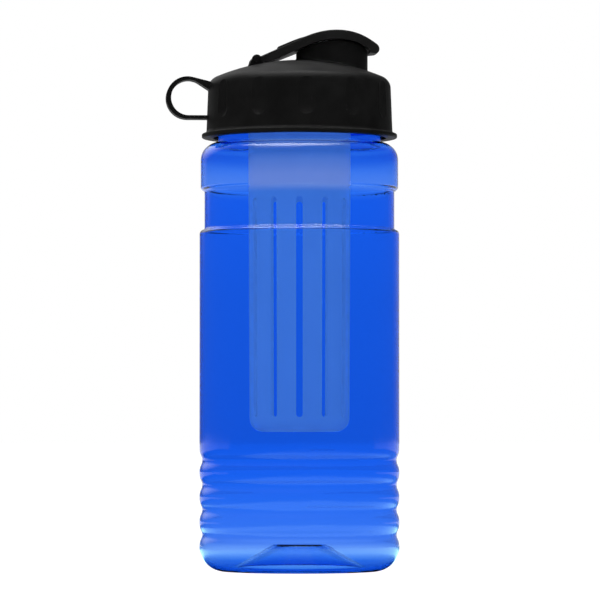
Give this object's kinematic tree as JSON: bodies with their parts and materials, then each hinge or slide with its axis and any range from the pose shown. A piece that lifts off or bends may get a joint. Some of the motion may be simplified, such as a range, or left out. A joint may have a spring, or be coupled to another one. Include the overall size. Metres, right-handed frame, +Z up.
{
  "type": "fruit infuser water bottle",
  "caption": "Translucent blue sports bottle with grip ribs, a slotted infuser basket hung in its neck and a black screw lid with a flip cap over the spout and a moulded carry loop.",
  "frame": {"origin": "on the bottle's axis, on the plane that the foot ring stands on", "axes": "+Z up along the bottle's axis, +X towards the spout, -X towards the carry loop"},
  "size_m": [0.0853, 0.073, 0.1966],
  "materials": {
    "bottle_body": "clear blue, blow moulded, glossy",
    "infuser": "frosted clear",
    "lid_moulding": "black, satin moulded",
    "seal": "pale silicone, matt",
    "pin": "drawn wire"
  },
  "bodies": {
    "bottle": {"bottle": "bottle_body"},
    "infuser": {"infuser_basket": "infuser"},
    "strainer": {"infuser_cap": "infuser"},
    "gasket": {"lid_gasket": "seal"},
    "lid": {"lid": "lid_moulding", "hinge_pin": "pin"},
    "cap": {"flip_cap": "lid_moulding", "spout_seal": "seal"}
  },
  "joints": [
    {"name": "infuser_lift", "type": "slide", "parent": "bottle", "child": "infuser", "axis": [0, 0, 1], "range_m": [0, 0.13]},
    {"name": "infuser_cap_lift", "type": "slide", "parent": "infuser", "child": "strainer", "axis": [0, 0, 1], "range_m": [0, 0.02]},
    {"name": "lid_rise", "type": "slide", "parent": "strainer", "child": "gasket", "axis": [0, 0, 1], "range_m": [0, 0.005]},
    {"name": "lid_turn", "type": "hinge", "parent": "gasket", "child": "lid", "pos_m": [0, 0, 0.1775], "axis": [0, 0, 1], "range_deg": [0, 450]},
    {"name": "cap_flip", "type": "hinge", "parent": "lid", "child": "cap", "pos_m": [-0.0162, 0, 0.18608], "axis": [0, -1, 0], "range_deg": [0, 150]}
  ],
  "couplings": [
    {"joint": "lid_rise", "follows": "lid_turn", "m_per_rad": 0.0006366}
  ]
}
